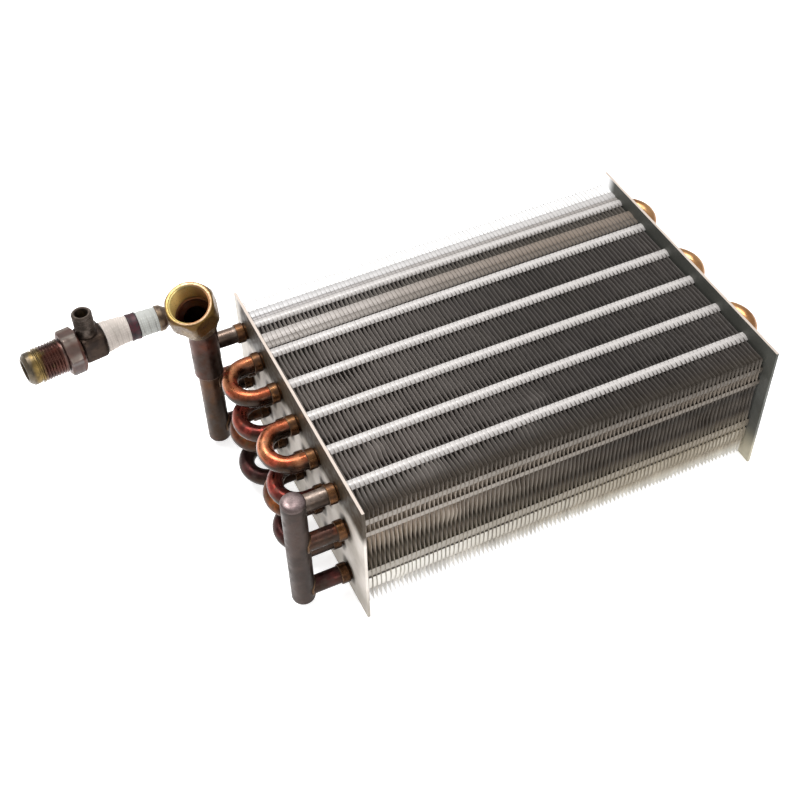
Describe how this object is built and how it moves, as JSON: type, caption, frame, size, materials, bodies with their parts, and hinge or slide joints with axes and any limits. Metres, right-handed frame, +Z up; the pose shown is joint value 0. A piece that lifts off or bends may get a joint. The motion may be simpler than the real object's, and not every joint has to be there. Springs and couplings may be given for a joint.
{
  "type": "fin-and-tube refrigerant heat exchanger",
  "caption": "Refrigerant heat exchanger coil: fins between end plates, copper hairpin tubes and bends, standing headers, a loose flare nut, and a taped line with a service tee.",
  "frame": {"origin": "middle of the bounding box's base, on the surface the end plates stand on", "axes": "+X along the tubes, from the header end to the hairpin-bend end; -Y toward the front header; +Z up"},
  "size_m": [0.38, 0.1724, 0.1259],
  "materials": {
    "plate": "satin, dulled, cream on the top edges",
    "fin": "satin, dusty",
    "hairpin": "bare copper, golden where it meets the plate",
    "bend": "bare copper, heat tarnished",
    "stub": "bare copper, heat tarnished",
    "header_front": "copper, dark grey-brown oxide",
    "header_back": "copper, olive-brown oxide",
    "cap": "copper, pinkish grey",
    "suction": "copper, reddish-brown oxide",
    "inner_copper": "bare copper",
    "nut": "satin brass",
    "line": "copper, dull",
    "collar": "dark oxide",
    "tape": "woven tape, ribbed",
    "tape_aged": "woven tape, ribbed, grey-beige",
    "band": "dark, dull",
    "tee": "dark olive-brown oxide",
    "male": "reddish-brown, brass coloured at the nose",
    "core": "bright brass",
    "spring": "bright",
    "braze": "dull silver alloy"
  },
  "bodies": {
    "coil": {"left_end_plate": "plate", "right_end_plate": "plate", "fins": "fin", "braze_rings": "braze", "hairpin_r1_1": "hairpin", "hairpin_r1_2": "hairpin", "hairpin_r1_3": "hairpin", "return_bend_r1_1": "bend", "return_bend_r1_2": "bend", "back_stub_r1": "stub", "front_stub_r1": "stub", "hairpin_r2_1": "hairpin", "hairpin_r2_2": "hairpin", "hairpin_r2_3": "hairpin", "return_bend_r2_1": "bend", "return_bend_r2_2": "bend", "back_stub_r2": "stub", "front_stub_r2": "stub", "hairpin_r3_1": "hairpin", "hairpin_r3_2": "hairpin", "hairpin_r3_3": "hairpin", "return_bend_r3_1": "bend", "return_bend_r3_2": "bend", "back_stub_r3": "stub", "front_stub_r3": "stub", "hairpin_r4_1": "hairpin", "hairpin_r4_2": "hairpin", "hairpin_r4_3": "hairpin", "return_bend_r4_1": "bend", "return_bend_r4_2": "bend", "back_stub_r4": "stub", "front_stub_r4": "stub", "front_header_tube": "header_front", "front_header_top_cap": "cap", "front_header_bottom_cap": "header_front", "back_header_tube": "header_back", "back_header_bottom_cap": "header_back", "header_partition": "inner_copper", "suction_tube": "suction", "dip_tube": "inner_copper", "line_collar": "collar", "line_pipe": "line", "tape_wrap_near": "tape", "clamp_band": "band", "tape_wrap_far": "tape_aged", "service_tee": "tee", "male_fitting": "male", "valve_core": "core", "valve_spring": "spring"},
    "nut": {"flare_nut": "nut"},
    "pin": {"valve_pin": "core"}
  },
  "joints": [
    {"name": "flare_nut_spin", "type": "hinge", "parent": "coil", "child": "nut", "pos_m": [-0.09844, 0.05897, 0.1049], "axis": [-0.2155, -0.3449, 0.9135], "continuous": true},
    {"name": "valve_pin_press", "type": "slide", "parent": "coil", "child": "pin", "axis": [0, 0, -1], "range_m": [0, 0.0015], "stiffness_N_per_m": 800, "springref_m": -0.001, "deforming": ["valve_spring"]}
  ]
}
